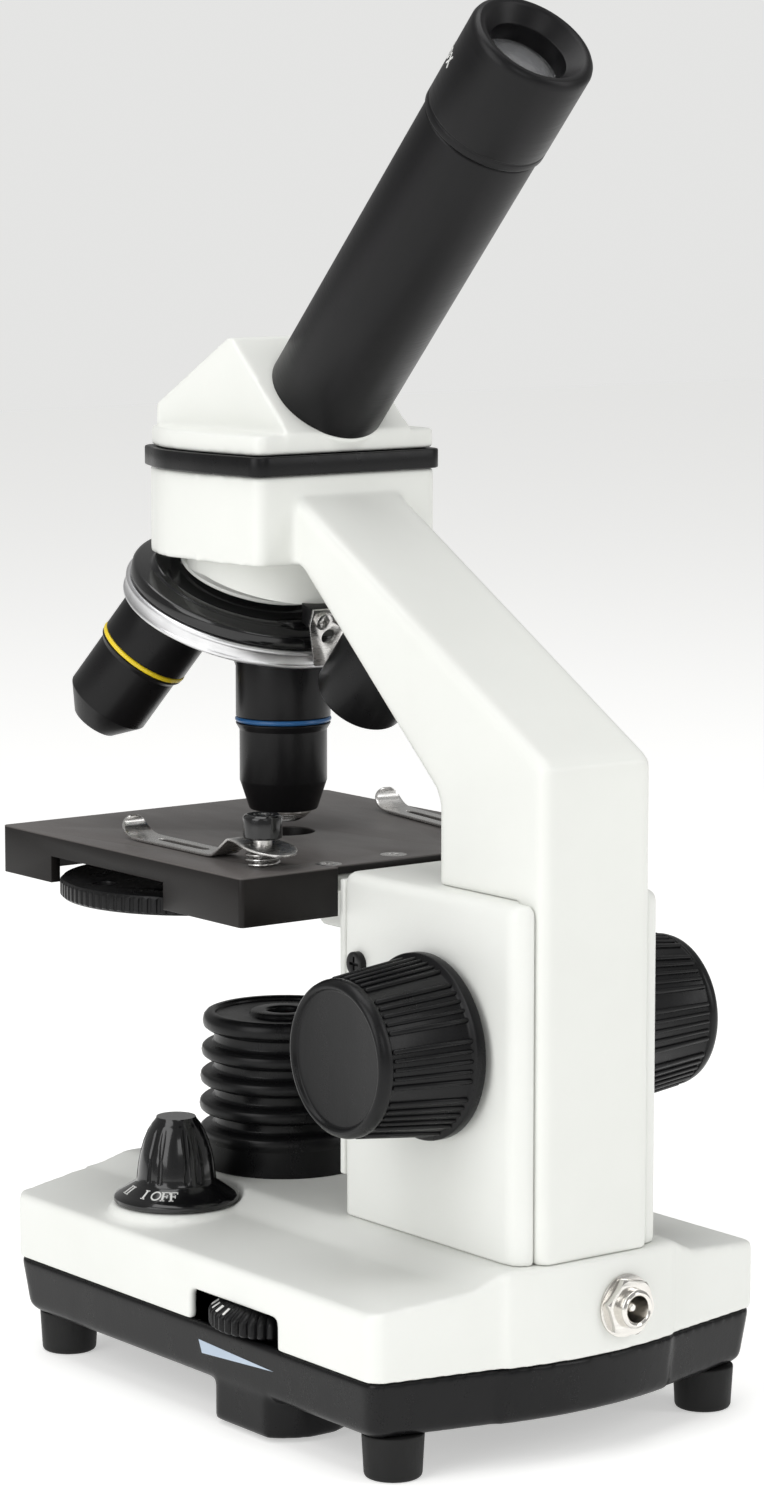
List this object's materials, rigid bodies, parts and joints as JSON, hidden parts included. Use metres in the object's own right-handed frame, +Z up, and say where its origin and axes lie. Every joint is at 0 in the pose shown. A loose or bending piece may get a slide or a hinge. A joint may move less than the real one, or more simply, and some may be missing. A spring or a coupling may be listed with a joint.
{
  "type": "microscope",
  "caption": "Upright monocular student microscope with a slanted eyepiece tube, tilted objective turret, sliding stage and two lamps in a white frame on a black footed base.",
  "frame": {"origin": "on the table under the middle of the whole object", "axes": "+Z up, +Y from the stage towards the arm and the power socket, +X towards the side with the lamp switch and the brightness wheel"},
  "size_m": [0.1053, 0.1602, 0.2973],
  "materials": {
    "white_paint": "satin white paint",
    "white_plastic": "fine textured white plastic",
    "black_plastic": "fine textured black plastic",
    "black_gloss": "smooth black plastic",
    "black_metal": "satin black enamel",
    "stage_paint": "satin black paint",
    "rubber": "moulded",
    "steel": "stainless",
    "nickel": "nickel plate",
    "aluminium": "turned",
    "brass": "machined",
    "glass": "polished",
    "lamp_diffuser": "frosted",
    "board": "circuit board",
    "red_band": "enamel",
    "yellow_band": "enamel",
    "blue_band": "enamel"
  },
  "bodies": {
    "frame": {"base_shell": "white_plastic", "base_pan": "black_plastic", "rubber_feet": "rubber", "base_screws": "steel", "jack_body": "nickel", "jack_nut": "nickel", "circuit_board": "board", "rotary_switch": "black_plastic", "potentiometer": "black_plastic", "lamp_housing": "black_plastic", "led_boards": "board", "lamp_lens": "lamp_diffuser", "focus_housing": "white_plastic", "front_cover": "white_plastic", "limit_screw": "steel", "guide_rails": "aluminium", "shaft_bushes": "brass", "arm": "white_paint", "head_collar": "black_plastic", "nosepiece_seat": "white_plastic", "turret_axle": "steel", "detent_bracket": "black_metal", "detent_spring": "steel", "detent_screws": "steel", "upper_lamp_housing": "black_plastic", "upper_lamp_lens": "lamp_diffuser"},
    "monocular_head": {"prism_housing": "white_paint", "prism": "glass", "head_retainer": "aluminium", "eyepiece_tube": "black_metal"},
    "eyepiece": {"eyepiece_barrel": "aluminium", "eyepiece_cap": "black_metal", "eyepiece_lenses": "glass"},
    "nosepiece": {"turret_body": "black_gloss", "turret_ring": "aluminium", "objective_4x": "black_metal", "objective_10x": "black_metal", "objective_40x": "black_metal", "band_4x": "red_band", "band_10x": "yellow_band", "band_40x": "blue_band", "objective_lenses": "glass"},
    "objective_tip": {"objective_nose": "nickel"},
    "stage": {"stage_plate": "stage_paint", "stage_bracket": "white_paint", "rack": "brass", "stage_screws": "steel", "condenser_lens": "glass", "clip_posts": "steel", "clip_caps": "black_gloss", "clip_springs": "steel"},
    "diaphragm": {"disc_diaphragm": "black_plastic"},
    "left_clip": {"clip_leaf_left": "steel"},
    "right_clip": {"clip_leaf_right": "steel"},
    "focus_drive": {"focus_shaft": "steel", "pinion": "brass", "focus_knob_left": "black_plastic", "focus_knob_right": "black_plastic"},
    "lamp_switch": {"switch_dial": "black_gloss"},
    "dimmer": {"brightness_wheel": "black_plastic"}
  },
  "joints": [
    {"name": "head_turn", "type": "hinge", "parent": "frame", "child": "monocular_head", "pos_m": [0, -0.0353, 0.2], "axis": [0, 0, 1], "continuous": true},
    {"name": "eyepiece_slide", "type": "slide", "parent": "monocular_head", "child": "eyepiece", "axis": [0, 0.6884, 0.7254], "range_m": [0, 0.028]},
    {"name": "nosepiece_turn", "type": "hinge", "parent": "frame", "child": "nosepiece", "pos_m": [0, -0.0353, 0.1992], "axis": [0, -0.3697, -0.9291], "continuous": true},
    {"name": "tip_spring", "type": "slide", "parent": "nosepiece", "child": "objective_tip", "axis": [0, 0, 1], "range_m": [0, 0.002], "stiffness_N_per_m": 400, "springref_m": -0.003},
    {"name": "stage_slide", "type": "slide", "parent": "frame", "child": "stage", "axis": [0, 0, 1], "range_m": [-0.018, 0.001]},
    {"name": "focus_turn", "type": "hinge", "parent": "frame", "child": "focus_drive", "pos_m": [0, 0.0443, 0.0838], "axis": [1, 0, 0], "range_deg": [-10, 146]},
    {"name": "diaphragm_turn", "type": "hinge", "parent": "stage", "child": "diaphragm", "pos_m": [0.0217, -0.0386, 0.1064], "axis": [0, 0, 1], "continuous": true},
    {"name": "left_clip_swing", "type": "hinge", "parent": "stage", "child": "left_clip", "pos_m": [0.0312, 0.0004, 0.1215], "axis": [0, 0, 1], "range_deg": [-18, 35]},
    {"name": "right_clip_swing", "type": "hinge", "parent": "stage", "child": "right_clip", "pos_m": [-0.0312, 0.0004, 0.1215], "axis": [0, 0, 1], "range_deg": [-27, 26]},
    {"name": "switch_turn", "type": "hinge", "parent": "frame", "child": "lamp_switch", "pos_m": [0.0339, -0.0287, 0.044], "axis": [0, 0, 1], "range_deg": [-40, 40]},
    {"name": "dimmer_turn", "type": "hinge", "parent": "frame", "child": "dimmer", "pos_m": [0.0384, 0.017, 0.025], "axis": [0, 0, 1], "range_deg": [-135, 135]}
  ],
  "couplings": [
    {"joint": "focus_turn", "follows": "stage_slide", "rad_per_m": -138.89}
  ]
}
